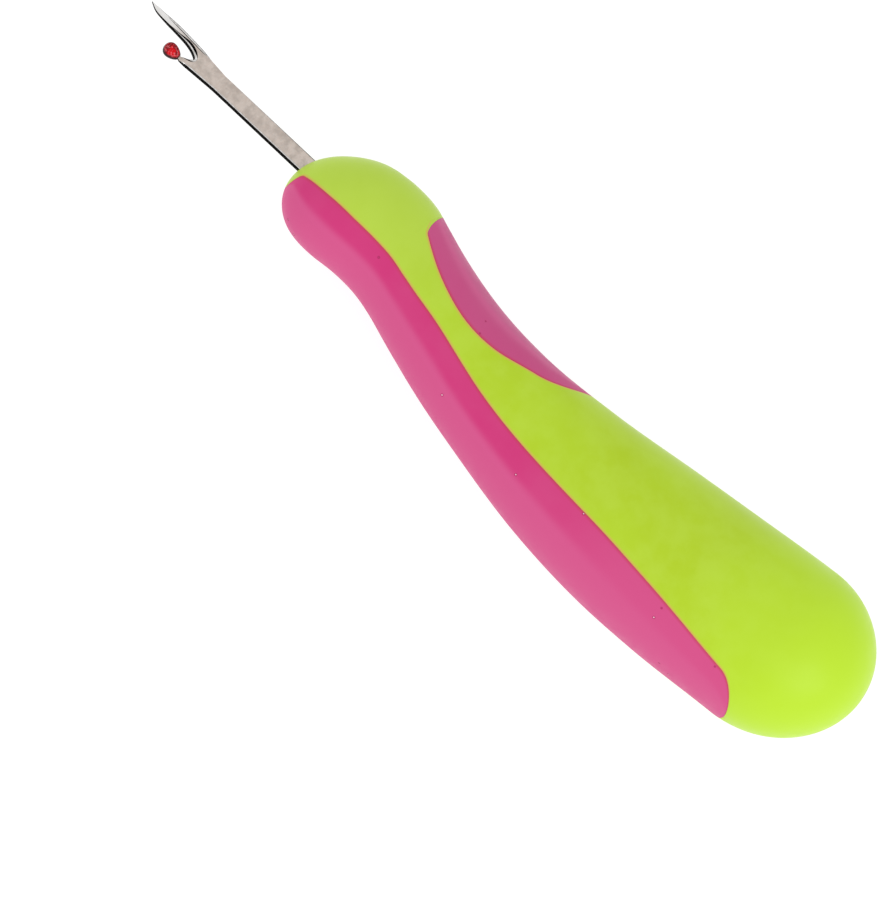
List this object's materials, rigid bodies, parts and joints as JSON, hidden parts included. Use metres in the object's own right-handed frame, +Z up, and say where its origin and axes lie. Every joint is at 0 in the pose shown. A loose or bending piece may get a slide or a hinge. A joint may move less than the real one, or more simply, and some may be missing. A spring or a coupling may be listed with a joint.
{
  "type": "seam ripper",
  "caption": "Seam ripper with a forked steel blade, a bead on its short prong, and a curved two-colour soft-grip handle.",
  "frame": {"origin": "bottom centre of the box of the whole tool, which lies on its side on a table at Z = 0", "axes": "+X from the blade's point to the butt, +Y from the belly side to the forefinger's side, +Z up from the table"},
  "size_m": [0.135, 0.0272, 0.0239],
  "materials": {
    "blade_steel": "satin, ground cutting edge in the notch",
    "bead_red": "glossy",
    "core_natural": "as moulded, not seen",
    "skin_green": "satin, soft to the touch",
    "grip_pink": "satin, soft to the touch"
  },
  "bodies": {
    "root": {"blade": "blade_steel", "safety_bead": "bead_red", "handle_core": "core_natural", "handle_skin": "skin_green", "belly_grip": "grip_pink", "finger_grip": "grip_pink"}
  },
  "joints": []
}
